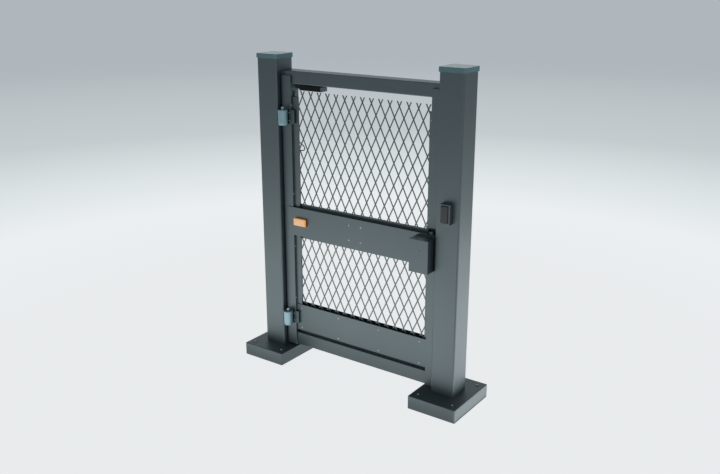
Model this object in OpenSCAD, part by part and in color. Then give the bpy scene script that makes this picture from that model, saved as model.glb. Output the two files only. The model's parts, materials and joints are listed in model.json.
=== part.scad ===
// Pedestrian swing gate: two square posts on plinths carry one framed leaf on two
// barrel hinges. The leaf has an expanded-metal infill above and below a lock band.
// Millimetres, +Z up, X along the gate, -Y towards the side the leaf opens to.
// The origin is the centre of the hinge post's plinth, on its underside.

/* [Posts and plinths] */
// Side of the square posts
post_w = 150; // [120:1:180]
// Wall of the posts
post_wall = 5; // [3:1:7]
// Outside corner radius of the posts
post_corner = 10; // [8:1:15]
// Distance between the centres of the two posts
post_pitch = 1260; // [1100:5:1500]
// Height of the posts' top end above the ground
post_top = 1941; // [1800:1:2200]
// Plinth size along the gate
plinth_x = 310; // [250:5:400]
// Plinth size across the gate
plinth_y = 394; // [300:2:500]
// Plinth height
plinth_h = 80; // [50:1:80]
// Anchor hole spacing along the gate
anchor_x = 225; // [205:5:230]
// Anchor hole spacing across the gate
anchor_y = 300; // [220:5:310]
// Anchor hole diameter
anchor_d = 14; // [12:1:24]

/* [Post caps] */
// How far the cap reaches past the post on each side
cap_lip = 7.5; // [3:0.5:15]
// Outside height of the cap
cap_h = 27; // [20:1:40]
// Thickness of the cap's top plate
cap_top = 6; // [3:1:10]
// Gap between the cap's skirt and the post
cap_gap = 0.5; // [0.3:0.1:1]
// Radius of the cap's upright corners
cap_corner = 18; // [12:1:24]

/* [Leaf frame] */
// Gap between the hinge post and the leaf
hinge_gap = 8; // [6:1:12]
// Gap between the leaf and the lock post
lock_gap = 10; // [9:1:14]
// Gap between the plinths and the bottom of the leaf
floor_gap = 10; // [6:1:30]
// Gap between the top of the stiles and the header
head_gap = 6; // [6:1:12]
// Width of the hinge stile
hinge_stile_w = 70; // [60:1:90]
// Width of the lock stile
lock_stile_w = 50; // [45:1:80]
// Depth of the stiles and the lock rail
frame_d = 75; // [60:1:78]
// Distance of the stiles' front face from the gate's middle plane
frame_front = 42; // [35:1:45]
// Wall of the stiles
frame_wall = 4; // [3:1:6]
// Outside corner radius of the stiles
frame_corner = 5; // [4:0.5:10]
// Wall of the rails
rail_wall = 3; // [2:1:5]
// Outside corner radius of the rails
rail_corner = 6; // [6:0.5:10]
// Setback of the bottom rail from the stiles' front face
rail_setback = 12; // [5:1:18]
// Thickness of the stop lugs on top of the stiles
lug_t = 6; // [5:1:6]
// How far the stop lugs lap the header
lug_lap = 49; // [20:1:60]
// Height of the bottom rail
bottom_rail_h = 85; // [60:1:100]
// Depth of the bottom rail
bottom_rail_d = 55; // [50:1:56]

/* [Header] */
// Drop from the top of the posts to the top of the header
header_drop = 89; // [40:1:300]
// Height of the header
header_h = 76; // [60:1:100]
// Depth of the header
header_d = 100; // [90:1:105]
// Distance of the header's front face from the gate's middle plane
header_front = 30; // [24:1:30]
// Wall of the header
header_wall = 4; // [3:1:6]
// Gap between the stop lugs and the header as the leaf swings
swing_gap = 5; // [5:0.5:6]

/* [Lock rail and band] */
// Underside of the lock band
band_z = 841; // [800:1:880]
// Height of the lock band
band_h = 180; // [150:1:200]
// Thickness of the lock band
band_t = 4; // [3:0.5:6]
// Distance of the band's left end from the leaf's hinge edge
band_inset = 30; // [20:1:50]
// Distance of the band's right end from the leaf's lock edge
band_end = 6; // [2:1:20]
// Step between the band's edges and the rail behind it
band_lap = 2; // [1:0.5:5]

/* [Infill] */
// Thickness of the expanded metal
mesh_t = 3; // [2:0.5:4]
// Width of one diamond, centre to centre
mesh_pitch_x = 62.1; // [50:0.1:80]
// Height of one diamond, centre to centre
mesh_pitch_z = 129.4; // [100:0.1:150]
// Width of the bond where strands meet
bond_w = 9; // [7:0.5:16]
// Height of the bond where strands meet
bond_h = 15; // [12:0.5:24]
// Length of the flat at each side corner of a diamond
bond_flat = 3; // [1:0.5:6]
// Centre of the upper mesh's first column of bonds, from the hinge stile
upper_first = 66.4; // [50:0.1:90]
// Centre of the lower mesh's first column of bonds, from the hinge stile
lower_first = 55.8; // [50:0.1:90]
// Gap between the mesh's free top edge and the header
mesh_top_gap = 40; // [20:1:60]
// Drop from the mesh's free top edge to its first row of bonds
mesh_drop = 29.3; // [15:0.1:45]
// Drop from the lock rail to the lower mesh's first row of bonds
lower_drop = 55.2; // [15:0.1:60]
// Width of the solid margin down each side of the mesh, hidden by the retaining angles
mesh_margin = 5; // [3:0.5:20]
// Gap around the mesh inside the frame
mesh_gap = 0.3; // [0.3:0.1:1]

/* [Mesh retainers] */
// Width of the front flange of the angles on the hinge side
hinge_angle_w = 35; // [20:1:45]
// Width of the front flange of the angles on the lock side
lock_angle_w = 25; // [20:1:45]
// Depth of the retaining angles' side flange
angle_d = 20; // [15:1:24]
// Thickness of the retaining angles and strips
angle_t = 3; // [2:0.5:4]
// Distance of the angles' front flange from the gate's middle plane
angle_front = 16; // [12:1:20]
// Gap between the header and the upper angles
angle_top_gap = 76; // [60:1:100]
// Height of the horizontal retaining strips
strip_h = 23; // [15:1:35]

/* [Kick plates] */
// Underside of the kick plates
kick_z = 197; // [188:1:220]
// Height of the kick plates
kick_h = 177; // [120:1:220]
// Thickness of the kick plates
kick_t = 3; // [2:0.5:5]
// Distance of the rear kick plate's back from the gate's middle plane
kick_back = 25; // [10:1:25]
// Gap between the kick plates and the lower angles
kick_gap = 2; // [1:1:10]

/* [Hinges] */
// Distance of the hinge axis from the hinge post's face
axis_x = 37; // [34:0.5:45]
// Distance of the hinge axis in front of the stiles
axis_y = 28; // [28:0.5:32]
// Outside diameter of the hinge barrels
barrel_d = 53; // [46:1:53]
// Overall height of a hinge with its collar
hinge_h = 92; // [80:1:110]
// Height of the collar under the barrel
collar_h = 8; // [6:1:14]
// Running gap between collar and barrel
collar_gap = 0.5; // [0.3:0.1:0.8]
// Diameter of the hinge pins
pin_d = 16; // [12:1:20]
// Radial clearance of the pins in the barrels
pin_gap = 0.05; // [0.02:0.01:0.09]
// Height of the pins' free end above the barrels
pin_stub = 12; // [6:1:20]
// Underside of the lower hinge
lower_hinge_z = 235; // [215:1:260]
// Drop from the header to the underside of the upper hinge
upper_hinge_drop = 245; // [200:1:400]
// Thickness of the hinge leaves on the front of the stile
hinge_leaf_t = 6; // [4:0.5:8]
// Width of the blocks beside the stile that back the hinge leaves
strap_w = 23; // [15:1:30]
// How far these blocks stand out from the front of the stile
strap_out = 4; // [0:0.5:8]
// Depth of these blocks
strap_d = 13; // [10:0.5:16]
// Gap between the collars' arms and the stile
arm_gap = 5; // [5:0.5:10]
// Height of the arms that carry the collars
arm_h = 12; // [8:1:16]

/* [Lock] */
// Width of the lock box
lock_box_w = 123; // [90:1:130]
// Height of the lock box
lock_box_h = 194; // [150:1:220]
// Depth of the lock box
lock_box_d = 80; // [50:1:90]
// Distance of the lock box's right side from the leaf's lock edge
lock_box_end = 1; // [0:1:8]
// Distance of the lock box's top below the band's top
lock_box_drop = 14; // [5:1:30]
// Diameter of the lock cylinder
cylinder_d = 12; // [10:1:20]
// How far the lock cylinder stands out
cylinder_out = 2; // [2:0.5:6]

/* [Card reader] */
// Width of the reader
reader_w = 62; // [50:1:90]
// Height of the reader
reader_h = 116; // [90:1:160]
// Depth of the reader's housing
reader_d = 33; // [20:1:45]
// Underside of the reader above the ground
reader_z = 1112; // [1000:1:1200]
// Margin of the reader's raised panel
reader_margin = 10; // [5:1:12]
// How far the reader's panel is raised
reader_raise = 8; // [3:0.5:10]

/* [Light] */
// Width of the light
light_w = 90; // [70:1:120]
// Height of the light
light_h = 45; // [35:1:60]
// Thickness of the light's base
light_base_t = 4; // [3:0.5:8]
// Depth of the lens
light_lens_d = 16; // [10:1:30]
// Distance of the light's left side from the leaf's hinge edge
light_x = 87; // [82:1:120]
// Distance of the light's middle from the band's middle
light_rise = 3; // [-20:1:20]

/* [Junction box] */
// Width of the junction box at the top of the leaf
junction_w = 170; // [120:1:200]
// Height of the junction box
junction_h = 28; // [20:1:32]
// Depth of the junction box
junction_d = 60; // [40:1:62]
// Gap between the hinge stile and the junction box
junction_gap = 50; // [30:1:80]
// Thickness of the plate that carries the junction box
junction_plate_t = 6; // [4:0.5:10]
// Gap between that plate and the back of the junction box
junction_plate_back = 4; // [0:1:10]

/* [Cable loop] */
// Diameter of the cable
cable_d = 6; // [4:0.5:8]
// Diameter of the cable glands
gland_d = 14; // [12:1:20]
// Length of the cable glands
gland_l = 7; // [6:1:9]
// Gap between the cable and its glands
gland_gap = 0.3; // [0.2:0.1:0.6]

/* [Hidden] */

paint = [0.30, 0.35, 0.37];
zinc = [0.60, 0.72, 0.74];

cap_w = post_w + 2 * cap_lip;
post_h = post_top - plinth_h;
cap_z = post_top + cap_top - cap_h;

leaf_x0 = post_w / 2 + hinge_gap;
leaf_x1 = post_pitch - post_w / 2 - lock_gap;
leaf_z0 = plinth_h + floor_gap;
inner_x0 = leaf_x0 + hinge_stile_w;
inner_x1 = leaf_x1 - lock_stile_w;
inner_w = inner_x1 - inner_x0;
rail_front = frame_front - rail_setback;
header_top = post_top - header_drop;
header_z = header_top - header_h;
stile_top = header_z - head_gap;
bottom_rail_top = leaf_z0 + bottom_rail_h;
lock_rail_z = band_z + band_lap;
lock_rail_h = band_h - 2 * band_lap;
lock_rail_top = lock_rail_z + lock_rail_h;
mesh_front = angle_front - angle_t;

hinge_x = post_w / 2 + axis_x;
hinge_y = -frame_front - axis_y;
barrel_h = hinge_h - collar_h - collar_gap;
upper_hinge_z = header_z - upper_hinge_drop;

band_front = -frame_front - band_t;
lock_box_z = band_z + band_h - lock_box_drop - lock_box_h;
lock_box_x = leaf_x1 - lock_box_end - lock_box_w;

cable_route = [[0, 0], [8, 0], [16, -3], [26, -9.5], [36, -16], [45, -22], [52, -28], [56.5, -35],
    [57, -43], [51.5, -50.5], [42, -54], [32, -55], [20, -55], [9, -55], [0, -55]];
cable_z = 1425;
cable_y = 11;
cable_sides = 8;

// A block given by its low corner and its size
module block(low, size) { translate(low) cube(size); }

// Outline of a block with round corners, w by d with corner radius r
module outline(w, d, r) {
    translate([r, 0]) square([w - 2 * r, d]);
    translate([0, r]) square([w, d - 2 * r]);
    for (x = [r, w - r], y = [r, d - r]) translate([x, y]) circle(r, $fn = 48);
}

// The same outline, shrunk by t on every side
module inner_outline(w, d, r, t) { translate([t, t]) outline(w - 2 * t, d - 2 * t, max(r - t, 0.5)); }

// A hollow section standing on low, with its ends closed by plates end thick
module tube_z(low, size, r, wall, end = 0) {
    open = end > 0 ? 0 : 1;
    translate(low) difference() {
        linear_extrude(size[2]) outline(size[0], size[1], r);
        translate([0, 0, end - open]) linear_extrude(size[2] - 2 * end + 2 * open)
            inner_outline(size[0], size[1], r, wall);
    }
}

// A hollow section lying along x, open at both ends
module tube_x(low, size, r, wall) {
    translate(low) rotate([90, 0, 90]) linear_extrude(size[0]) difference() {
        outline(size[1], size[2], r);
        inner_outline(size[1], size[2], r, wall);
    }
}

// A block with its upright edges rounded
module soft_block(low, size, r) {
    translate(low) linear_extrude(size[2]) outline(size[0], size[1], r);
}

module plinth(x) {
    difference() {
        block([x - plinth_x / 2, -plinth_y / 2, 0], [plinth_x, plinth_y, plinth_h]);
        for (sx = [-1, 1], sy = [-1, 1])
            translate([x + sx * anchor_x / 2, sy * anchor_y / 2, -1])
                cylinder(d = anchor_d, h = plinth_h + 2, $fn = 48);
    }
}
module hinge_plinth() { color(paint) plinth(0); }
module lock_plinth() { color(paint) plinth(post_pitch); }

module post(x) {
    tube_z([x - post_w / 2, -post_w / 2, plinth_h], [post_w, post_w, post_h], post_corner, post_wall);
}
module hinge_post() { color(paint) post(0); }
module lock_post() { color(paint) post(post_pitch); }

module cap(x) {
    inner = post_w + 2 * cap_gap;
    difference() {
        soft_block([x - cap_w / 2, -cap_w / 2, cap_z], [cap_w, cap_w, cap_h], cap_corner);
        soft_block([x - inner / 2, -inner / 2, cap_z - 1], [inner, inner, post_top - cap_z + 1],
                   post_corner);
    }
}
module hinge_post_cap() { color([0.30, 0.46, 0.49]) cap(0); }
module lock_post_cap() { color([0.30, 0.46, 0.49]) cap(post_pitch); }

// The half of a hinge that stays on the post: arm, collar and pin
module post_bracket(z) {
    color(zinc) union() {
        block([post_w / 2, -post_w / 2 + post_corner, z + collar_h - arm_h],
              [axis_x, post_w / 2 - post_corner - frame_front - arm_gap, arm_h]);
        translate([hinge_x, hinge_y, z]) {
            cylinder(d = barrel_d, h = collar_h, $fn = 96);
            cylinder(d = pin_d, h = hinge_h + pin_stub, $fn = 48);
        }
    }
}
module upper_post_bracket() { post_bracket(upper_hinge_z); }
module lower_post_bracket() { post_bracket(lower_hinge_z); }

// The half of a hinge that turns with the leaf: barrel and leaf
module hinge_barrel(z) {
    color(zinc) translate([hinge_x, hinge_y, z + collar_h + collar_gap]) difference() {
        union() {
            cylinder(d = barrel_d, h = barrel_h, $fn = 96);
            block([0, axis_y - hinge_leaf_t, 0], [inner_x0 - hinge_x, hinge_leaf_t, barrel_h]);
        }
        translate([0, 0, -1]) cylinder(r = pin_d / 2 + pin_gap, h = barrel_h + 2, $fn = 48);
    }
}
module upper_hinge_barrel() { hinge_barrel(upper_hinge_z); }
module lower_hinge_barrel() { hinge_barrel(lower_hinge_z); }

// The block beside the stile that backs a hinge leaf
module hinge_strap(z) {
    color(paint) block([inner_x0, -frame_front - strap_out, z + collar_h + collar_gap],
                       [strap_w, strap_d, barrel_h]);
}
module upper_hinge_strap() { hinge_strap(upper_hinge_z); }
module lower_hinge_strap() { hinge_strap(lower_hinge_z); }

module reader_housing() {
    color(paint) block([post_pitch - reader_w / 2, -post_w / 2 - reader_d, reader_z],
                       [reader_w, reader_d, reader_h]);
}
module reader_panel() {
    color([0.26, 0.28, 0.29])
        block([post_pitch - reader_w / 2 + reader_margin, -post_w / 2 - reader_d - reader_raise,
               reader_z + reader_margin],
              [reader_w - 2 * reader_margin, reader_raise, reader_h - 2 * reader_margin]);
}

module header() {
    color(paint) tube_x([post_w / 2, -header_front, header_z],
                        [post_pitch - post_w, header_d, header_h], frame_corner, header_wall);
}

// A stile of width w, with the stop lug that laps the front of the header; the lug's
// left edge runs from lug_x0 in front to lug_x1 behind
module stile(x, w, lug_x0, lug_x1) {
    color(paint) union() {
        tube_z([x, -frame_front, leaf_z0], [w, frame_d, stile_top - leaf_z0],
               frame_corner, frame_wall, frame_wall);
        translate([0, 0, stile_top]) linear_extrude(head_gap + lug_lap)
            polygon([[lug_x0, -frame_front], [x + w, -frame_front],
                     [x + w, lug_t - frame_front], [lug_x1, lug_t - frame_front]]);
    }
}
// Where a point y in front of the hinge axis may start and still swing clear of the header
function swing_x(y) = max(leaf_x0, hinge_x - sqrt(max(0, pow(-hinge_y - header_front - swing_gap, 2) - y * y)));
module hinge_stile() {
    stile(leaf_x0, hinge_stile_w, swing_x(axis_y), swing_x(axis_y + lug_t));
}
module lock_stile() { stile(inner_x1, lock_stile_w, inner_x1, inner_x1); }
module lock_rail() {
    color(paint) tube_x([inner_x0, -frame_front, lock_rail_z], [inner_w, frame_d, lock_rail_h],
                        rail_corner, rail_wall);
}
module bottom_rail() {
    color(paint) tube_x([inner_x0, -rail_front, leaf_z0], [inner_w, bottom_rail_d, bottom_rail_h],
                        rail_corner, rail_wall);
}

// Outline of one diamond opening
function opening() = let(w = (mesh_pitch_x - bond_w) / 2, b = bond_flat / 2, h = (mesh_pitch_z - bond_h) / 2)
    [[0, h], [w, b], [w, -b], [0, -h], [-w, -b], [-w, b]];

// Expanded metal standing between z0 and z1, with a row of bonds at row_z and a column
// of bonds first from the hinge stile
module mesh(z0, z1, row_z, first) {
    columns = ceil(inner_w / mesh_pitch_x) + 1;
    rows = ceil((z1 - z0) / mesh_pitch_z) + 1;
    color(paint) translate([0, -mesh_front + mesh_t, 0]) rotate([90, 0, 0])
        linear_extrude(mesh_t) union() {
            difference() {
                translate([inner_x0 + mesh_gap, z0]) square([inner_w - 2 * mesh_gap, z1 - z0]);
                for (i = [-1:columns], j = [-1:rows], half = [0, 1])
                    translate([inner_x0 + first + (i + 0.5 - half / 2) * mesh_pitch_x,
                               row_z - (j - half / 2) * mesh_pitch_z])
                        polygon(opening());
            }
            for (x = [inner_x0 + mesh_gap, inner_x1 - mesh_gap - mesh_margin])
                translate([x, z0]) square([mesh_margin, z1 - z0]);
        }
}
mesh_top = header_z - mesh_top_gap;
module upper_mesh() { mesh(lock_rail_top + mesh_gap, mesh_top, mesh_top - mesh_drop, upper_first); }
module lower_mesh() {
    mesh(bottom_rail_top + mesh_gap, lock_rail_z - mesh_gap, lock_rail_z - lower_drop, lower_first);
}

// A retaining angle between z0 and z1, its side flange at side_x, its front flange w wide at front_x
module angle(side_x, front_x, w, z0, z1) {
    color(paint) union() {
        block([side_x, -mesh_front - angle_d, z0], [angle_t, angle_d, z1 - z0]);
        block([front_x, -angle_front, z0], [w, angle_t, z1 - z0]);
    }
}
module hinge_angle(z0, z1) { angle(inner_x0, inner_x0, hinge_angle_w, z0, z1); }
module lock_angle(z0, z1) { angle(inner_x1 - angle_t, inner_x1 - lock_angle_w, lock_angle_w, z0, z1); }
upper_angle_top = header_z - angle_top_gap;
lower_angle_z = kick_z + kick_h + kick_gap;
module hinge_upper_angle() { hinge_angle(lock_rail_top, upper_angle_top); }
module lock_upper_angle() { lock_angle(lock_rail_top, upper_angle_top); }
module hinge_lower_angle() { hinge_angle(lower_angle_z, lock_rail_z); }
module lock_lower_angle() { lock_angle(lower_angle_z, lock_rail_z); }

// A flat strip that holds the mesh's edge between the two angles
module strip(z) {
    color(paint) block([inner_x0 + hinge_angle_w, -angle_front, z],
                       [inner_w - hinge_angle_w - lock_angle_w, angle_t, strip_h]);
}
module upper_sill_strip() { strip(lock_rail_top); }
module lower_head_strip() { strip(lock_rail_z - strip_h); }

module lock_band() {
    color(paint) block([leaf_x0 + band_inset, band_front, band_z],
                       [leaf_x1 - leaf_x0 - band_inset - band_end, band_t, band_h]);
}
module lock_box() {
    color(paint) block([lock_box_x, band_front - lock_box_d, lock_box_z],
                       [lock_box_w, lock_box_d, lock_box_h]);
}
module lock_cylinder() {
    color("silver") translate([lock_box_x + lock_box_w * 0.5, band_front - lock_box_d,
                               lock_box_z + lock_box_h * 0.65])
        rotate([90, 0, 0]) cylinder(d = cylinder_d, h = cylinder_out, $fn = 48);
}

module kick_plate(y) {
    color(paint) block([inner_x0, y, kick_z], [inner_w, kick_t, kick_h]);
}
module kick_plate_front() { kick_plate(-rail_front); }
module kick_plate_back() { kick_plate(kick_back - kick_t); }

light_mid_z = band_z + band_h / 2 + light_rise;
module light_base() {
    color([0.2, 0.2, 0.2]) block([leaf_x0 + light_x, band_front - light_base_t, light_mid_z - light_h / 2],
                                 [light_w, light_base_t, light_h]);
}
module light_lens() {
    color([0.95, 0.62, 0.25])
        block([leaf_x0 + light_x, band_front - light_base_t - light_lens_d, light_mid_z - light_h / 2],
              [light_w, light_lens_d, light_h]);
}

// The box beside the hinge stile's top, and the plate that carries it
junction_z = stile_top - junction_h;
module junction_box() {
    color(paint) block([inner_x0 + junction_gap, -header_front, junction_z],
                       [junction_w, junction_d, junction_h]);
}
module junction_plate() {
    color(paint) block([inner_x0, junction_d - header_front - junction_plate_back - junction_plate_t,
                        junction_z], [junction_gap, junction_plate_t, junction_h]);
}

module gland(z) {
    color([0.1, 0.1, 0.1]) translate([inner_x0, cable_y, z]) rotate([0, 90, 0]) difference() {
        cylinder(d = gland_d, h = gland_l, $fn = 6);
        translate([0, 0, -1]) cylinder(d = cable_d + 2 * gland_gap, h = gland_l + 2, $fn = cable_sides);
    }
}
module upper_cable_gland() { gland(cable_z); }
module lower_cable_gland() { gland(cable_z + cable_route[len(cable_route) - 1][1]); }

// The cable as rings of points along its route
function ring(k) = let(
        n = len(cable_route),
        p = cable_route[k],
        a = cable_route[max(k - 1, 0)],
        b = cable_route[min(k + 1, n - 1)],
        t = (k == 0 || k == n - 1) ? [k == 0 ? 1 : -1, 0] : (b - a) / norm(b - a),
        side = [-t[1], t[0]]
    ) [for (i = [0:cable_sides - 1]) let(u = 360 * (i + 0.5) / cable_sides, r = cable_d / 2)
        [inner_x0 + p[0] + side[0] * r * cos(u), cable_y + r * sin(u), cable_z + p[1] + side[1] * r * cos(u)]];
module cable_loop() {
    n = len(cable_route);
    points = [for (k = [0:n - 1]) each ring(k)];
    sides = [for (k = [0:n - 2], i = [0:cable_sides - 1]) let(j = (i + 1) % cable_sides)
        [k * cable_sides + i, k * cable_sides + j, (k + 1) * cable_sides + j, (k + 1) * cable_sides + i]];
    first = [for (i = [cable_sides - 1:-1:0]) i];
    last = [for (i = [0:cable_sides - 1]) (n - 1) * cable_sides + i];
    color([0.05, 0.05, 0.05]) polyhedron(points, concat(sides, [first, last]), convexity = 4);
}

hinge_plinth();
lock_plinth();
hinge_post();
lock_post();
hinge_post_cap();
lock_post_cap();
upper_post_bracket();
lower_post_bracket();
reader_housing();
reader_panel();
header();
hinge_stile();
lock_stile();
lock_rail();
bottom_rail();
upper_mesh();
lower_mesh();
hinge_upper_angle();
lock_upper_angle();
hinge_lower_angle();
lock_lower_angle();
upper_sill_strip();
lower_head_strip();
lock_band();
lock_box();
lock_cylinder();
kick_plate_front();
kick_plate_back();
light_base();
light_lens();
junction_box();
junction_plate();
upper_hinge_barrel();
lower_hinge_barrel();
upper_hinge_strap();
lower_hinge_strap();
upper_cable_gland();
lower_cable_gland();
cable_loop();
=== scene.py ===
# %% [markdown]
# A pedestrian swing gate, dressed for a studio picture. The steelwork comes from the
# CAD frame, and the pieces made here take their main sizes from it. Blender adds what
# the frame leaves out: paint, rounded edges, bolts, rivets and the light.

import json
import math

import bmesh
import bpy
from mathutils import Matrix, Vector


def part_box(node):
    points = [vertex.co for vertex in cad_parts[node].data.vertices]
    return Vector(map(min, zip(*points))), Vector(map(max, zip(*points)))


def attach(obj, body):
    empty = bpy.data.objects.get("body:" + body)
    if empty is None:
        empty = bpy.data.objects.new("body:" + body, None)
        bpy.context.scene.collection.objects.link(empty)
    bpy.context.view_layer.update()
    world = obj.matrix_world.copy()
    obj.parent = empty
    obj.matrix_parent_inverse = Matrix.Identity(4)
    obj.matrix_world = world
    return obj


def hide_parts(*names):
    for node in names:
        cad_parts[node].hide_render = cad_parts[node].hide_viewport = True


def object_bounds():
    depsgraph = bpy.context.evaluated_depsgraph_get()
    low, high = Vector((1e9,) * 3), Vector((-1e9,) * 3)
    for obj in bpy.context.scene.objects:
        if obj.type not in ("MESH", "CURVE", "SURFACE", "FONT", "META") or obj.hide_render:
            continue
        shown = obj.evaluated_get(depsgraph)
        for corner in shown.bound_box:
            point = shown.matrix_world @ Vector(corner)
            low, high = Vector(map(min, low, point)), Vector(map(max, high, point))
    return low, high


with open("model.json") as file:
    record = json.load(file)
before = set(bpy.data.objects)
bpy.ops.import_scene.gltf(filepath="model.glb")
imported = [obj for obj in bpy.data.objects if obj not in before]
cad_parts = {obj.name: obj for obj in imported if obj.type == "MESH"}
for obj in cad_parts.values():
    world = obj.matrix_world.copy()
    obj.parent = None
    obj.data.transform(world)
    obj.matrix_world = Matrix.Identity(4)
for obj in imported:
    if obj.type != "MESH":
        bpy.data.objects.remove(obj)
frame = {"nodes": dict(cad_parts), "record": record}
cad_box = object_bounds()
slot_of = {part["node"]: part["material_slot"] for part in frame["record"]["subparts"]}
print("CAD box", cad_box, "nodes", len(slot_of))

# %% [markdown]
# The camera stands to the right of the gate, a little above its top, and looks down on
# it. A lens a bit longer than standard keeps the posts nearly parallel. Two angles aim
# it: one turns it towards the gate, the other tips it down. That is easier to adjust
# than a rotation about three axes.

# %% Camera
CAMERA_SPOT = Vector((3.3992, -3.9024, 2.4266))
CAMERA_TURN = math.radians(35.367)
CAMERA_TIP = math.radians(17.676)

camera_data = bpy.data.cameras.new("camera")
camera_data.lens = 42.11
camera_data.sensor_width = 36.0
camera = bpy.data.objects.new("camera", camera_data)
camera.location = CAMERA_SPOT
camera.rotation_euler = (math.pi / 2 - CAMERA_TIP, 0.0, CAMERA_TURN)
bpy.context.scene.collection.objects.link(camera)
bpy.context.scene.camera = camera
print("camera at", tuple(camera.location))

# %% [markdown]
# Shader graphs are easier to read as sums than as a web of nodes. Wire wraps one output
# of a node: writing 1 - mask or height * 0.3 adds the Math node that works it out.
# Graph makes every other kind of node from its type, its settings and its inputs.

# %% Shader sums


class Wire:
    """One output of a shader node, which Python's operators can work with."""

    def __init__(self, graph, socket):
        self.graph = graph
        self.socket = socket

    def maths(self, operation, *values):
        return self.graph.add("ShaderNodeMath", {"operation": operation}, dict(enumerate(values)))

    def __add__(self, other):
        return self.maths("ADD", self, other)

    def __radd__(self, other):
        return self.maths("ADD", other, self)

    def __sub__(self, other):
        return self.maths("SUBTRACT", self, other)

    def __rsub__(self, other):
        return self.maths("SUBTRACT", other, self)

    def __mul__(self, other):
        return self.maths("MULTIPLY", self, other)

    def __rmul__(self, other):
        return self.maths("MULTIPLY", other, self)

    def __truediv__(self, other):
        return self.maths("DIVIDE", self, other)

    def __rtruediv__(self, other):
        return self.maths("DIVIDE", other, self)

    def __pow__(self, other):
        return self.maths("POWER", self, other)

    def clamped(self):
        return self.maths("MINIMUM", self.maths("MAXIMUM", self, 0.0), 1.0)

    def sine(self):
        return self.maths("SINE", self)


class Graph:
    """The node tree of a material or of the world."""

    def __init__(self, owner):
        owner.use_nodes = True
        self.tree = owner.node_tree
        self.tree.nodes.clear()

    def add(self, kind, settings=None, inputs=None, output=0):
        node = self.tree.nodes.new(kind)
        for name, value in (settings or {}).items():
            if name == "stops":
                self.set_stops(node.color_ramp, value)
            else:
                setattr(node, name, value)
        for name, value in (inputs or {}).items():
            if isinstance(value, Wire):
                self.tree.links.new(value.socket, node.inputs[name])
            else:
                node.inputs[name].default_value = value
        return Wire(self, node.outputs[output]) if node.outputs else None

    @staticmethod
    def set_stops(ramp, stops):
        while len(ramp.elements) < len(stops):
            ramp.elements.new(0.5)
        for element, (place, colour) in zip(ramp.elements, stops):
            element.position = place
            element.color = (*colour, 1.0)

    def spot(self):
        """Where a point is on the gate, in metres."""
        return self.add("ShaderNodeTexCoord", output=3)

    def along(self, axis):
        return self.add("ShaderNodeSeparateXYZ", inputs={0: self.spot()}, output="XYZ".index(axis))

    def noise(self, scale, detail=2.0, roughness=0.5, stretch=None):
        where = self.spot()
        if stretch:
            where = self.add("ShaderNodeVectorMath", {"operation": "MULTIPLY"},
                             {0: where, 1: stretch})
        inputs = {"Vector": where, "Scale": scale, "Detail": detail, "Roughness": roughness}
        return self.add("ShaderNodeTexNoise", inputs=inputs)

    def ramp(self, factor, stops):
        return self.add("ShaderNodeValToRGB", {"stops": stops}, {0: factor})

    def mix(self, factor, low, high):
        low, high = [c if isinstance(c, Wire) else (*c, 1.0) for c in (low, high)]
        settings = {"data_type": "RGBA", "clamp_factor": True}
        return self.add("ShaderNodeMix", settings, {0: factor, 6: low, 7: high}, output=2)

    def dimmed(self, colour, factor, stops):
        """The colour times a grey that changes with factor."""
        grey = self.ramp(factor, [(place, (level,) * 3) for place, level in stops])
        return self.add("ShaderNodeMix", {"data_type": "RGBA", "blend_type": "MULTIPLY"},
                        {0: 1.0, 6: colour, 7: grey}, output=2)

    def bump(self, height, strength, depth=0.001):
        return self.add("ShaderNodeBump", inputs={
            "Strength": strength, "Distance": depth, "Height": height})

    def seen(self):
        """1 for what the camera sees, straight or mirrored, and 0 for the soft fill."""
        ways = [self.add("ShaderNodeLightPath", output=name) for name in
                ("Is Camera Ray", "Is Glossy Ray", "Is Transmission Ray")]
        return (ways[0] + ways[1] + ways[2]).clamped()

    def finish(self, shader, kind="ShaderNodeOutputMaterial"):
        self.add(kind, inputs={"Surface": shader})


print("shader helpers ready")

# %% [markdown]
# The studio is a pale sweep of floor under an even grey sky. A round pool of light is
# painted into the floor's colour under the gate. It is a shade darker within a couple of
# metres of the gate, a painted soft shadow, and fades to grey further out, soonest in front
# and on the right, a painted fall-off of the light. Most of what the camera sees of the
# floor is its own colour, and the rest is a diffuse surface that keeps the gate's soft
# shadow. Glossy steel mirrors the same floor: low on a post it mirrors the painted pool
# nearby, higher up the greyer floor beyond, and that is why the paint grows lighter
# towards the ground.
#
# A floor that glows also lights every gap in the gate, more than a lit floor would. So
# `seen` gives the full glow to what is looked at, straight or in a mirror, and FILL is
# the smaller part of it that lights matt surfaces. The narrow gaps then stay dark.

# %% Floor
POOL_REACH = 20.0
# Painted light in the floor's colour, set by distance from the gate: a slightly darker middle as
# painted soft shadow, a bright painted pool, then grey.
PAINTED_POOL_STOPS = [
    (0.00, (0.90, 0.92, 0.93)),
    (0.12, (0.90, 0.92, 0.93)),
    (0.21, (0.92, 0.945, 0.96)),
    (0.27, (0.82, 0.87, 0.89)),
    (0.42, (0.61, 0.66, 0.68)),
    (0.85, (0.48, 0.53, 0.56)),
    (1.00, (0.47, 0.52, 0.55)),
]
SHADOW_SHARE = 0.30
FILL = 0.32
GLOW = 1.25
FLOOR_HALF = 120.0

# Painted fall-off of the light: the floor greys in front of the gate and to its right.
PAINTED_FRONT_FALLOFF_STOPS = [(0.0, 1.0), (0.42, 1.0), (0.60, 0.80), (0.80, 0.64), (1.0, 0.58)]
PAINTED_RIGHT_FALLOFF_STOPS = [(0.0, 1.0), (0.40, 1.0), (0.65, 0.80), (1.0, 0.60)]
FADE_REACH = 5.0

gate_middle = (Vector(cad_box[0]) + Vector(cad_box[1])) / 2


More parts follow.
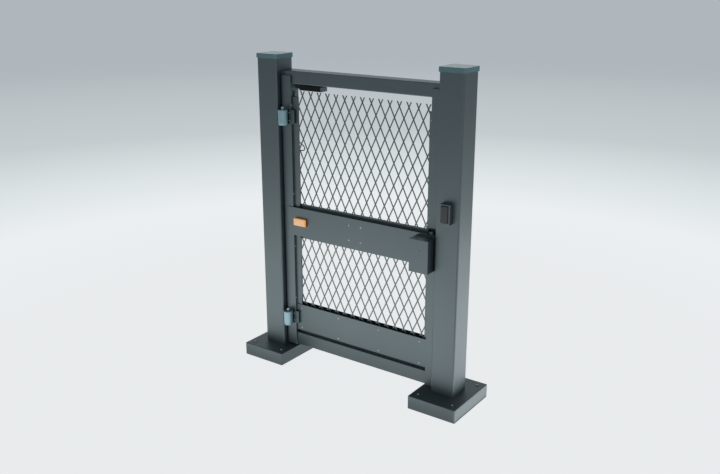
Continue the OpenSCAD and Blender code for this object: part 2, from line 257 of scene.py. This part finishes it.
def floor_material():
    material = bpy.data.materials.new("studio_floor")
    graph = Graph(material)
    away = graph.add("ShaderNodeVectorMath", {"operation": "DISTANCE"},
                     {0: graph.spot(), 1: (gate_middle.x, gate_middle.y, 0.0)}, output=1)
    # The painted pool of light, with a painted soft shadow close to the gate.
    pool = graph.ramp(away / POOL_REACH, PAINTED_POOL_STOPS)
    left_half = (1.5 - graph.along("X")).clamped()
    behind = (graph.along("Y") + 0.5).clamped()
    # Painted fall-off of the light in front of the gate and on its right.
    painted_front_falloff = (graph.along("Y") * -1 / FADE_REACH).clamped() * left_half
    painted_right_falloff = ((graph.along("X") - cad_box[1][0]) / FADE_REACH).clamped() * behind
    colour = graph.dimmed(graph.dimmed(pool, painted_front_falloff, PAINTED_FRONT_FALLOFF_STOPS), painted_right_falloff, PAINTED_RIGHT_FALLOFF_STOPS)
    matt = graph.add("ShaderNodeBsdfDiffuse", inputs={"Color": colour})
    strength = (graph.seen() * (1 - FILL) + FILL) * GLOW
    glow = graph.add("ShaderNodeEmission", inputs={"Color": colour, "Strength": strength})
    graph.finish(graph.add("ShaderNodeMixShader", inputs={0: 1 - SHADOW_SHARE, 1: matt, 2: glow}))
    return material


floor_mesh = bpy.data.meshes.new("floor")
corners = [(x * FLOOR_HALF, y * FLOOR_HALF, 0.0) for x, y in ((-1, -1), (1, -1), (1, 1), (-1, 1))]
floor_mesh.from_pydata(corners, [], [(0, 1, 2, 3)])
floor_mesh.materials.append(floor_material())
floor = bpy.data.objects.new("floor", floor_mesh)
bpy.context.scene.collection.objects.link(floor)
print("floor", FLOOR_HALF * 2, "m wide")

# %% [markdown]
# The sky is grey and darker overhead, with a brighter band low down behind the gate.
# The tops of the caps and rails mirror that band, so they read lighter than the sides.
# The lamps are two soft panels that lie on the floor and shine up, like the white sheets
# that a studio lays down to bounce light. The left one lights the fronts, the right one
# the sides that face away from the hinges. The camera doesn't see them, but the paint
# mirrors them, so the foot of each post is lighter than its top.

# %% World and lamps
SKY = (0.46, 0.51, 0.54)
ZENITH = (0.30, 0.33, 0.35)
BAND = (0.95, 1.0, 1.02)
BAND_SIDE = (-0.58, 0.81, 0.0)
BAND_RISE = [(0.0, 0.0), (0.12, 0.6), (0.3, 1.0), (0.55, 0.0)]


def make_world():
    world = bpy.data.worlds.new("studio_sky")
    bpy.context.scene.world = world
    graph = Graph(world)
    direction = graph.add("ShaderNodeTexCoord")
    height = graph.add("ShaderNodeSeparateXYZ", inputs={0: direction}, output=2)
    plain = graph.ramp(height, [(0.0, SKY), (0.15, SKY), (0.55, ZENITH), (1.0, ZENITH)])
    facing = graph.add("ShaderNodeVectorMath", {"operation": "DOT_PRODUCT"},
                       {0: direction, 1: BAND_SIDE}, output=1)
    rise = graph.ramp(height, [(place, (level,) * 3) for place, level in BAND_RISE])
    band = (facing.clamped() ** 1.5) * graph.add("ShaderNodeRGBToBW", inputs={0: rise})
    colour = graph.mix(band, plain, BAND)
    sky = graph.add("ShaderNodeBackground", inputs={
        "Color": colour, "Strength": graph.seen() * (1 - FILL) + FILL})
    graph.finish(sky, "ShaderNodeOutputWorld")


def bounce_panel(name, spot, size, watts):
    data = bpy.data.lights.new(name, "AREA")
    data.shape = "RECTANGLE"
    data.size, data.size_y = size
    data.energy = watts
    lamp = bpy.data.objects.new(name, data)
    lamp.location = spot
    lamp.rotation_euler = (math.pi, 0.0, 0.0)
    lamp.visible_camera = False
    bpy.context.scene.collection.objects.link(lamp)


make_world()
bounce_panel("panel_left", (-0.55, -1.75, 0.012), (3.7, 2.9), 23.0)
bounce_panel("panel_right", (2.69, 1.15, 0.004), (2.54, 3.1), 28.0)
bpy.context.scene.view_settings.view_transform = "Standard"
print("world and lamps ready")

# %% [markdown]
# The gate is powder-coated in a dark blue-grey. Powder coat is smooth but never flat:
# it has a fine orange peel, slow changes of gloss where the spray was thicker, and a
# little dust low down. The peel is a bump, the gloss a slow noise on roughness, and the
# dust a lighter colour that fades out with height.

# %% Painted steel
PEEL_SCALE = 420.0
PEEL_STRENGTH = 0.05
CLOUD_SCALE = 2.2
DUST = (0.20, 0.21, 0.21)
DUST_HEIGHT = 0.35
SHEEN_TINT = (0.79, 0.95, 1.0, 1.0)
FRAME_COLOUR = (0.026, 0.040, 0.045)


def shades(colour, darker, lighter):
    return [c * darker for c in colour], [c * lighter for c in colour]


def painted(name, colour, rough=0.42, index=2.15, dust=0.10):
    material = bpy.data.materials.new(name)
    graph = Graph(material)
    cloud = graph.noise(CLOUD_SCALE, detail=3.0)
    fine = graph.noise(60.0, detail=4.0, roughness=0.6)
    tint = graph.mix(cloud * 0.5 + fine * 0.5, *shades(colour, 0.90, 1.10))
    low_down = (1 - graph.along("Z") / DUST_HEIGHT).clamped()
    dusty = graph.mix(low_down * fine * dust, tint, DUST)
    gloss = (cloud - 0.5) * 0.10 + (fine - 0.5) * 0.05 + low_down * dust * 0.5 + rough
    shader = graph.add("ShaderNodeBsdfPrincipled", inputs={
        "Base Color": dusty, "Roughness": gloss, "IOR": index,
        "Specular Tint": SHEEN_TINT, "Normal": graph.bump(graph.noise(PEEL_SCALE), PEEL_STRENGTH)})
    graph.finish(shader)
    return material


print("paint helper ready")

# %% [markdown]
# The hinges and fixings are zinc-plated steel. Plating shows the turning marks of the
# lathe as fine rings, and a mottled bloom where it has dulled. A noise that is stretched
# flat stands for the rings, because stretching one direction makes lines of the others.

# %% Plated steel
TURNING_MARKS = (30.0, 30.0, 900.0)


def plated(name, colour, rough=0.38, shine=0.35):
    material = bpy.data.materials.new(name)
    graph = Graph(material)
    bloom = graph.noise(35.0, detail=5.0, roughness=0.65)
    marks = graph.noise(1.0, detail=2.0, stretch=TURNING_MARKS)
    tint = graph.mix(bloom, *shades(colour, 0.82, 1.15))
    shader = graph.add("ShaderNodeBsdfPrincipled", inputs={
        "Base Color": tint, "Roughness": (bloom - 0.5) * 0.18 + rough, "Metallic": shine,
        "IOR": 1.6, "Normal": graph.bump(marks * 0.6 + bloom * 0.4, 0.08, 0.0005)})
    graph.finish(shader)
    return material


print("plating helper ready")

# %% [markdown]
# The reader, the box at the top, the glands and the lead are moulded. Moulded plastic
# has a fine even grain from the tool, so its bump is a small-scale noise with no slow
# changes. The warning light's lens is amber, with upright ribs that spread its light,
# and a faint glow is painted into it, on the face and on the skirt.

# %% Plastics and the lens
GRAIN_SCALE = 700.0
GRAIN_STRENGTH = 0.10
RIB_PITCH = 0.005
SKIRT_BLEND = 0.005


def moulded(name, colour, rough=0.45, index=1.5):
    material = bpy.data.materials.new(name)
    graph = Graph(material)
    fine = graph.noise(GRAIN_SCALE, detail=3.0)
    cloud = graph.noise(9.0, detail=2.0)
    tint = graph.mix(cloud * 0.7 + fine * 0.3, *shades(colour, 0.86, 1.14))
    shader = graph.add("ShaderNodeBsdfPrincipled", inputs={
        "Base Color": tint, "Roughness": (cloud - 0.5) * 0.12 + rough, "IOR": index,
        "Normal": graph.bump(fine, GRAIN_STRENGTH)})
    graph.finish(shader)
    return material


def ribbed_lens(name, face, skirt, front):
    """Pale on its front, deeper on the skirt behind it."""
    material = bpy.data.materials.new(name)
    graph = Graph(material)
    ribs = (graph.along("X") * (2 * math.pi / RIB_PITCH)).sine()
    cloud = graph.noise(30.0, detail=2.0)
    depth = ((graph.along("Y") - front) / SKIRT_BLEND).clamped()
    tint = graph.mix(ribs * 0.15 + cloud * 0.2 + 0.4, [c * 0.86 for c in face], face)
    # A faint painted glow: the lens gives off a little light of its own, paler on the face and
    # deeper on the skirt.
    glow = graph.mix(depth, [c * 0.42 for c in face], [c * 0.55 for c in skirt])
    shader = graph.add("ShaderNodeBsdfPrincipled", inputs={
        "Base Color": graph.mix(depth, tint, skirt), "Roughness": cloud * 0.1 + 0.22,
        "IOR": 1.5, "Coat Weight": 0.4, "Emission Color": glow, "Emission Strength": 1.0,
        "Normal": graph.bump(ribs, 0.25, 0.001)})
    graph.finish(shader)
    return material


PAINTS = {
    "frame_paint": painted("frame_paint", FRAME_COLOUR),
    "post_paint": painted("post_paint", FRAME_COLOUR),
    "plinth_paint": painted("plinth_paint", (0.032, 0.047, 0.052), dust=0.16),
    "cap_paint": painted("cap_paint", (0.12, 0.275, 0.31), rough=0.26, dust=0.0),
    "mesh_paint": painted("mesh_paint", FRAME_COLOUR, rough=0.36),
    "lock_paint": painted("lock_paint", FRAME_COLOUR),
    "hinge_steel": plated("hinge_steel", (0.38, 0.59, 0.645)),
    "cylinder_steel": plated("cylinder_steel", (0.55, 0.60, 0.61), rough=0.30, shine=0.6),
    "rivet_steel": plated("rivet_steel", (0.62, 0.66, 0.67), rough=0.30, shine=0.5),
    "bolt_steel": plated("bolt_steel", (0.30, 0.36, 0.38), rough=0.34),
    "bright_pin": plated("bright_pin", (0.75, 0.86, 0.86), rough=0.30, shine=0.5),
    "anchor_steel": plated("anchor_steel", (0.86, 0.92, 0.92), rough=0.35, shine=0.15),
    # shadow_paint is painted shade: near black and dull, for parts that stand where there is shadow
    # (the hinge plates, the lip under the kick plate, the key slot, the latch keeper).
    "shadow_paint": painted("shadow_paint", (0.008, 0.016, 0.020), rough=0.5, index=1.35),
    "reader_shell": painted("reader_shell", (0.030, 0.036, 0.038)),
    "reader_face": moulded("reader_face", (0.062, 0.064, 0.067), rough=0.35),
    "light_base": moulded("light_base", (0.02, 0.02, 0.02)),
    "amber_lens": ribbed_lens("amber_lens", (0.95, 0.54, 0.26), (0.95, 0.34, 0.008),
                              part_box("light_lens")[0][1]),
    # Near black and barely reflective: the box's own black, with painted shade from the header.
    "junction_shell": moulded("junction_shell", (0.007, 0.009, 0.011), rough=0.5, index=1.25),
    "gland_plastic": moulded("gland_plastic", (0.02, 0.02, 0.02)),
    "cable_sheath": moulded("cable_sheath", (0.02, 0.02, 0.02), rough=0.5),
}
for node, part in frame["nodes"].items():
    part.data.materials.clear()
    part.data.materials.append(PAINTS[slot_of[node]])
print("materials", len(PAINTS))

# %% [markdown]
# The solid model gives every part its true place and size, but its edges are razor sharp.
# Real sheet and bar always have a small radius, and that radius is what catches a thin
# line of light. So the parts below are made again, in the same places, with soft edges.
#
# `piece` turns a finished bmesh into an object: it gives the finish, says which moving
# body carries the part, and hides the plain solid that the part stands for. The weighted
# normals keep the large flat faces flat to the eye while the narrow bevels look round.

# %% Turning a bmesh into a part of the gate


def piece(name, bm, body, paint, replaced=()):
    bmesh.ops.recalc_face_normals(bm, faces=bm.faces)
    for face in bm.faces:
        face.smooth = True
    mesh = bpy.data.meshes.new(name)
    bm.to_mesh(mesh)
    bm.free()
    mesh.set_sharp_from_angle(angle=math.radians(50))
    mesh.materials.append(PAINTS[paint])
    part = bpy.data.objects.new(name, mesh)
    bpy.context.collection.objects.link(part)
    normals = part.modifiers.new("normals", "WEIGHTED_NORMAL")
    normals.keep_sharp = True
    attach(part, body)
    if replaced:
        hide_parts(*replaced)


def rounded_block(bm, low, high, radius, segments=3):
    """A block with every edge rounded."""
    middle = (Vector(low) + Vector(high)) / 2
    place = Matrix.LocRotScale(middle, None, Vector(high) - Vector(low))
    made = bmesh.ops.create_cube(bm, size=1.0, matrix=place)
    edges = list({edge for corner in made["verts"] for edge in corner.link_edges})
    bmesh.ops.bevel(bm, geom=edges, offset=radius, segments=segments, profile=0.5,
                    affect="EDGES")


def shifted(corner, x=0.0, y=0.0, z=0.0):
    return (corner[0] + x, corner[1] + y, corner[2] + z)


print("part helpers ready")

# %% [markdown]
# A post cap and a plinth are both upright blocks, but their upright corners are rounder
# than their top edges. A stack of rounded rectangles, one ring above another, gives the
# two radii separately: the ring's corner arcs make the upright corners, and the last few
# rings draw in along a quarter circle to make the top edge.
#
# The stiles are made here too, as plain rounded blocks. Their solids stop below the header
# and carry a thin lug in front of it. The blocks leave that step out, so the top of each
# stile reaches into the header, and a body with two sections would be truer.

# %% Stiles, plinths and post caps


def ring_of_corners(bm, low, high, radius, height, steps=5):
    ring = []
    centres = [(high[0] - radius, high[1] - radius), (low[0] + radius, high[1] - radius),
               (low[0] + radius, low[1] + radius), (high[0] - radius, low[1] + radius)]
    for quarter, (x, y) in enumerate(centres):
        for step in range(steps + 1):
            angle = math.pi / 2 * (quarter + step / steps)
            ring.append(bm.verts.new((x + radius * math.cos(angle), y + radius * math.sin(angle),
                                      height)))
    return ring


def join_rings(bm, rings):
    count = len(rings[0])
    for lower, upper in zip(rings, rings[1:]):
        for k in range(count):
            bm.faces.new((lower[k], lower[(k + 1) % count], upper[(k + 1) % count], upper[k]))
    bm.faces.new(list(reversed(rings[0])))
    bm.faces.new(rings[-1])


def soft_topped_block(bm, low, high, corner, edge, steps=4):
    levels = [(0.0, low[2])]
    for step in range(steps + 1):
        angle = math.pi / 2 * step / steps
        levels.append((edge * (1 - math.cos(angle)), high[2] - edge * (1 - math.sin(angle))))
    rings = []
    for inset, height in levels:
        a = (low[0] + inset, low[1] + inset)
        b = (high[0] - inset, high[1] - inset)
        rings.append(ring_of_corners(bm, a, b, corner - inset, height))
    join_rings(bm, rings)


for side in ("hinge", "lock"):
    bm = bmesh.new()
    low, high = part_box(side + "_stile")
    rounded_block(bm, low, high, 0.002)
    piece(side + "_stile_soft", bm, "leaf", "frame_paint", (side + "_stile",))
    bm = bmesh.new()
    low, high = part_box(side + "_plinth")
    soft_topped_block(bm, low, high, 0.006, 0.0045)
    piece(side + "_plinth_soft", bm, "frame", "plinth_paint", (side + "_plinth",))
    bm = bmesh.new()
    low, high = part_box(side + "_post_cap")
    soft_topped_block(bm, low, high, 0.018, 0.003)
    piece(side + "_cap_soft", bm, "frame", "cap_paint", (side + "_post_cap",))
print("stiles, plinths and caps made")

# %% [markdown]
# Bolts, studs, rivets and pins are all turned shapes: a profile swept round an axis.
# `turned` takes the profile as pairs of (distance along the axis, radius). With only six
# sides the same function makes a hexagon nut, which saves writing a second one.
#
# Each plinth is held down by four anchors. An anchor shows a thin washer, painted over
# with the rest, and the bright domed end of the stud. They are kept low: as the leaf
# starts to open, its outer stile passes over one on the lock plinth, and only five
# millimetres stay free under it.

# %% Anchors on the plinths


def turned(bm, spot, axis, profile, sides=20):
    place = Matrix.Translation(spot) @ Vector(axis).to_track_quat("Z", "Y").to_matrix().to_4x4()
    rings = []
    for along, radius in profile:
        turn = [2 * math.pi * k / sides for k in range(sides)]
        rings.append([bm.verts.new(place @ Vector((radius * math.cos(a), radius * math.sin(a),
                                                   along))) for a in turn])
    join_rings(bm, rings)


UP = (0, 0, 1)
FRONT = (0, -1, 0)
ANCHOR_SPREAD = (0.1125, 0.150)

for side in ("hinge", "lock"):
    low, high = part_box(side + "_plinth")
    middle = (Vector(low) + Vector(high)) / 2
    nuts, studs = bmesh.new(), bmesh.new()
    for x in (-ANCHOR_SPREAD[0], ANCHOR_SPREAD[0]):
        for y in (-ANCHOR_SPREAD[1], ANCHOR_SPREAD[1]):
            spot = Vector((middle.x + x, middle.y + y, high[2]))
            turned(nuts, spot, UP, [(-0.0005, 0.0110), (0.0015, 0.0110), (0.0020, 0.0105)], 24)
            turned(studs, spot, UP, [(0.0005, 0.0070), (0.0026, 0.0070), (0.0042, 0.0055),
                                     (0.0049, 0.0030)], 20)
    piece(side + "_anchor_nuts", nuts, "frame", "plinth_paint")
    piece(side + "_anchor_studs", studs, "frame", "anchor_steel")
print("anchors made")

# %% [markdown]
# The gate turns on two barrel hinges. The barrel is a zinc-plated tube on the pin of the
# post's bracket. It has a wider rim on top and a groove near its foot, where the sleeve
# ends. Behind it a plate runs to the stile and takes two bolts; the plate is near black,
# a painted shadow that the barrel throws on it. A thick painted strap wraps the stile's
# edge beside it. A bright pin head closes the top of each hinge.

# %% Hinges

BOLT_DROP = 0.024
SLEEVE = 0.0022
GROOVE = 0.0014
TOP_RIM = 0.0040
for level in ("upper", "lower"):
    low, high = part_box(level + "_hinge_barrel")
    bracket_low, bracket_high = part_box(level + "_post_bracket")
    strap_low, strap_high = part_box(level + "_hinge_strap")
    radius = (bracket_high[1] - bracket_low[1]) / 2
    axis = Vector((low[0] + radius, low[1] + radius, low[2]))
    tall = high[2] - low[2]

    barrel = bmesh.new()
    turned(barrel, axis, UP, [
        (-0.0020, radius + 0.0005), (0.0, radius + SLEEVE), (0.0085, radius + SLEEVE),
        (0.0090, radius + GROOVE), (0.0105, radius + GROOVE), (0.0110, radius + SLEEVE),
        (tall - 0.0100, radius + SLEEVE), (tall - 0.0085, radius + TOP_RIM),
        (tall - 0.0010, radius + TOP_RIM), (tall, radius + 0.0030)], 48)
    piece(level + "_barrel_turned", barrel, "leaf", "hinge_steel", (level + "_hinge_barrel",))

    plate = bmesh.new()
    plate_end = strap_low[0] - 0.012
    rounded_block(plate, (axis.x - 0.012, low[1] + 2 * radius - 0.0055, low[2] + 0.001),
                  (plate_end, high[1], high[2] - 0.001), 0.0012, 2)
    # Near-black painted shadow: the shade the barrel throws on the plate.
    piece(level + "_hinge_plate", plate, "leaf", "shadow_paint")

    strap = bmesh.new()
    rounded_block(strap, (plate_end, strap_low[1], strap_low[2]),
                  shifted(strap_high, y=-0.0087), 0.0018)
    rounded_block(strap, shifted(strap_low, y=0.0005), strap_high, 0.0018)
    piece(level + "_strap_soft", strap, "leaf", "frame_paint", (level + "_hinge_strap",))

    bolts = bmesh.new()
    for drop in (-BOLT_DROP, BOLT_DROP):
        spot = Vector((plate_end + 0.003, strap_low[1], (low[2] + high[2]) / 2 + drop))
        turned(bolts, spot, FRONT, [(0.0, 0.0052), (0.003, 0.0052), (0.004, 0.004)], 6)
    piece(level + "_hinge_bolts", bolts, "leaf", "bolt_steel")

    pin = bmesh.new()
    top = Vector((axis.x, axis.y, bracket_high[2]))
    turned(pin, top, UP, [(-0.001, 0.0085), (0.0035, 0.0085), (0.0055, 0.007), (0.0062, 0.004)], 24)
    piece(level + "_pin_head", pin, "frame", "bright_pin")
print("hinges made")

# %% [markdown]
# A blind rivet leaves a low dome. Rivets hold the kick plates, the lock band and the
# angles that clamp the lattice. They come in rows, so one function drops a dome at every
# crossing of a list of columns and a list of rows, all into one mesh. On the hinge side
# the same dome, turned sideways, holds the angle to the side of the stile.

# %% Rivets

RIVET = [(0.0, 0.0052), (0.0008, 0.0050), (0.0017, 0.0041), (0.0023, 0.0026), (0.0026, 0.0008)]


def rivets(name, columns, rows, front):
    bm = bmesh.new()
    for x in columns:
        for z in rows:
            turned(bm, Vector((x, front, z)), FRONT, RIVET, 12)
    piece(name, bm, "leaf", "rivet_steel")


kick_low, kick_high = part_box("kick_plate_front")
kick_width = kick_high[0] - kick_low[0]
rivets("kick_rivets", [kick_low[0] + kick_width * share for share in (0.041, 0.341, 0.652, 0.950)],
       [kick_low[2] + 0.018, kick_high[2] - 0.024], kick_low[1])
band_low, band_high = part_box("lock_band")
rivets("band_rivets", [0.581, 0.666], [0.884, 0.977], band_low[1])
for side, level, rows in (("hinge", "upper", (1.103, 1.650)), ("lock", "upper", (1.103, 1.650)),
                          ("hinge", "lower", (0.416, 0.763)), ("lock", "lower", (0.416, 0.763))):
    low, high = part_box(f"{side}_{level}_angle")
    if side == "lock":
        rivets(f"{side}_{level}_rivets", [(low[0] + high[0]) / 2], rows, low[1] + 0.017)
    else:
        screws = bmesh.new()
        for z in rows:
            turned(screws, Vector((low[0] - 0.0002, low[1] - 0.0005, z)), (1, 0, 0), RIVET, 12)
        piece(f"{side}_{level}_screws", screws, "leaf", "rivet_steel")
print("rivets made")

# %% [markdown]
# The lock is a welded box on a flat band that crosses the gate at hand height. Kick
# plates close the bottom. All of these are folded sheet, so they get a fold radius of one
# or two millimetres. The rear kick plate is the same sheet again, set back, so that the
# lattice passes in front of it. A near-black lip closes the slot below the front kick
# plate, painted shade for the shadow in that slot, and two narrow covers run along the
# lattice's edge beside the hinge stile.

# %% Lock band, lock box and kick plates

for node, radius, paint in (("lock_band", 0.0010, "lock_paint"), ("lock_box", 0.0025, "lock_paint"),
                            ("kick_plate_front", 0.0010, "frame_paint"),
                            ("kick_plate_back", 0.0010, "frame_paint"),
                            ("reader_panel", 0.0022, "reader_face"),
                            ("reader_housing", 0.0028, "reader_shell")):
    bm = bmesh.new()
    low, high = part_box(node)
    rounded_block(bm, low, high, radius)
    body = "frame" if node.startswith("reader") else "leaf"
    piece(node + "_soft", bm, body, paint, (node,))
low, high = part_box("kick_plate_front")
# The lip's near black is painted shade, the shadow in the slot under the kick plate.
lip = bmesh.new()
rounded_block(lip, (low[0] + 0.0005, low[1] + 0.0120, low[2] - 0.0215),
              (high[0] - 0.0005, low[1] + 0.0140, low[2] + 0.0030), 0.0008, 2)
piece("kick_lip", lip, "leaf", "shadow_paint")
for level in ("upper", "lower"):
    low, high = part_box(f"hinge_{level}_angle")
    cover = bmesh.new()
    rounded_block(cover, (low[0] + 0.0005, low[1] + 0.0050, low[2] + 0.0010),
                  shifted(high, x=0.0070, y=-0.0030, z=-0.0010), 0.0010, 2)
    piece(f"{level}_edge_cover", cover, "leaf", "frame_paint")
print("sheet parts made")

# %% [markdown]
# The key cylinder is a small satin rose with a raised keyway and a slot. The slot is a
# near-black sliver set a hair proud of the rose, its colour painted shade for the depth of
# a cut: at this size nobody can tell it from a cut, and it saves a boolean.

# %% Lock cylinder

low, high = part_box("lock_cylinder")
middle = (Vector(low) + Vector(high)) / 2
radius = (high[0] - low[0]) / 2
rose = bmesh.new()
turned(rose, Vector((middle.x, high[1], middle.z)), FRONT,
       [(0.0, radius), (0.0012, radius), (0.0016, radius - 0.0006), (0.0019, radius * 0.55)], 32)
piece("lock_rose", rose, "leaf", "lock_paint", ("lock_cylinder",))
core = bmesh.new()
turned(core, Vector((middle.x - 0.002, low[1] + 0.0005, middle.z)), FRONT,
       [(0.0, radius * 0.5), (0.0004, radius * 0.45)], 24)
piece("lock_core", core, "leaf", "cylinder_steel")
# The slot's near black is painted shade standing in for a cut.
slot = bmesh.new()
rounded_block(slot, (middle.x + 0.0005, low[1] - 0.0002, middle.z - 0.0045),
              (middle.x + 0.0025, low[1] + 0.0006, middle.z + 0.0045), 0.0003, 1)
piece("lock_keyway", slot, "leaf", "shadow_paint")
print("cylinder made")

# %% [markdown]
# Just above the band, on the lock stile, sits the keeper for the latch: two cheeks with
# the nose of the bolt between them. The keeper is near black, painted shade for the hollow
# around the bolt.

# %% Latch keeper

stile_low, stile_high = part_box("lock_stile")
# The keeper's near black is painted shade, the hollow around the latch bolt.
keeper = bmesh.new()
foot = band_high[2] + 0.0005
rounded_block(keeper, (stile_low[0] + 0.003, stile_low[1] - 0.004, foot),
              (stile_high[0] - 0.003, stile_low[1], foot + 0.034), 0.001, 2)
for left in (stile_low[0] + 0.005, stile_high[0] - 0.013):
    rounded_block(keeper, (left, stile_low[1] - 0.020, foot + 0.002),
                  (left + 0.008, stile_low[1] - 0.003, foot + 0.030), 0.0015, 2)
piece("latch_keeper", keeper, "leaf", "shadow_paint")
nose = bmesh.new()
rounded_block(nose, (stile_low[0] + 0.014, stile_low[1] - 0.017, foot + 0.004),
              (stile_high[0] - 0.014, stile_low[1] - 0.003, foot + 0.020), 0.002)
piece("latch_nose", nose, "leaf", "frame_paint")
print("latch made")

# %% [markdown]
# The warning light is an amber lens on a black base. The lens has a generous radius all
# round, since it is moulded and has to come off its tool, and its skirt is a deeper
# orange than its face. A faint glow is painted into the lens. The slim box under the
# header has a black shell that the leads run through, closed by a grey end cap. The
# shell is made darker and duller than plain black plastic, so it also carries painted
# shade from the header above it and the stile beside it.

# %% Warning light and junction box

low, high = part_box("light_lens")
bm = bmesh.new()
rounded_block(bm, low, high, 0.0045, 4)
piece("light_lens_soft", bm, "leaf", "amber_lens", ("light_lens",))
low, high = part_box("light_base")
bm = bmesh.new()
rounded_block(bm, low, high, 0.0015)
piece("light_base_soft", bm, "leaf", "light_base", ("light_base",))
low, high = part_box("junction_box")
bm = bmesh.new()
rounded_block(bm, shifted(low, x=0.006), shifted(high, x=-0.006), 0.0020)
# The shell's near-black, dull finish is partly painted shade from the header and stile.
piece("junction_shell_soft", bm, "leaf", "junction_shell", ("junction_box",))
bm = bmesh.new()
rounded_block(bm, (high[0] - 0.0062, low[1], low[2]), high, 0.0018)
piece("junction_end_cap", bm, "leaf", "frame_paint")
print("light and box made")

# %% [markdown]
# A short lead leaves the stile through one gland, hangs in a loop and goes back in
# through the other. It is soft, so its bends may be tight. Each gland is a six-sided nut
# with a domed collar, which is what lets a round lead pass through a panel without
# chafing.

# %% Lead and glands

LEAD_DIAMETER = 0.006
LEAD_EXIT = (0.153, 0.011, 1.425)
LEAD_ROUTE = [(0, 0), (8, 0), (16, -3), (26, -9.5), (36, -16), (45, -22), (52, -28),
              (56.5, -35), (57, -43), (51.5, -50.5), (42, -54), (32, -55), (20, -55), (9, -55),
              (0, -55)]
curve = bpy.data.curves.new("cable_lead", "CURVE")
curve.dimensions = "3D"
curve.bevel_depth = LEAD_DIAMETER / 2
curve.bevel_resolution = 5
spline = curve.splines.new("POLY")
spline.points.add(len(LEAD_ROUTE) - 1)
for point, (along, drop) in zip(spline.points, LEAD_ROUTE):
    point.co = (*shifted(LEAD_EXIT, x=along / 1000, z=drop / 1000), 1.0)
spline.use_smooth = True
lead = bpy.data.objects.new("cable_lead", curve)
bpy.context.collection.objects.link(lead)
curve.materials.append(PAINTS["cable_sheath"])
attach(lead, "leaf")
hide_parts("cable_loop")

for level in ("upper", "lower"):
    low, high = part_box(level + "_cable_gland")
    middle = (Vector(low) + Vector(high)) / 2
    spot = Vector((low[0], middle.y, middle.z))
    bm = bmesh.new()
    turned(bm, spot, (1, 0, 0), [(0.0, 0.0070), (0.0028, 0.0070), (0.0030, 0.0066)], 6)
    turned(bm, spot, (1, 0, 0), [(0.0028, 0.0058), (0.0050, 0.0055), (0.0064, 0.0045),
                                 (0.0069, 0.0034)], 24)
    piece(level + "_gland_soft", bm, "leaf", "gland_plastic", (level + "_cable_gland",))

# %% [markdown]
# Apart from the stiles, the tubes stay as the CAD frame made them, since their long faces
# and corner radii are already right. The small bars and brackets get a Bevel modifier,
# which rounds only the edges sharper than its angle and leaves the mesh below untouched.

# %% Softened edges on the remaining bars

SOFTENED = {"upper_post_bracket": 0.0015, "lower_post_bracket": 0.0015, "junction_plate": 0.001,
            "hinge_upper_angle": 0.0008, "lock_upper_angle": 0.0008,
            "hinge_lower_angle": 0.0008, "lock_lower_angle": 0.0008,
            "upper_sill_strip": 0.0008, "lower_head_strip": 0.0008}
for node, width in SOFTENED.items():
    bevel = frame["nodes"][node].modifiers.new("soft_edges", "BEVEL")
    bevel.width = width
    bevel.segments = 2
    bevel.limit_method = "ANGLE"
    bevel.angle_limit = math.radians(50)
print("edges softened on", len(SOFTENED))
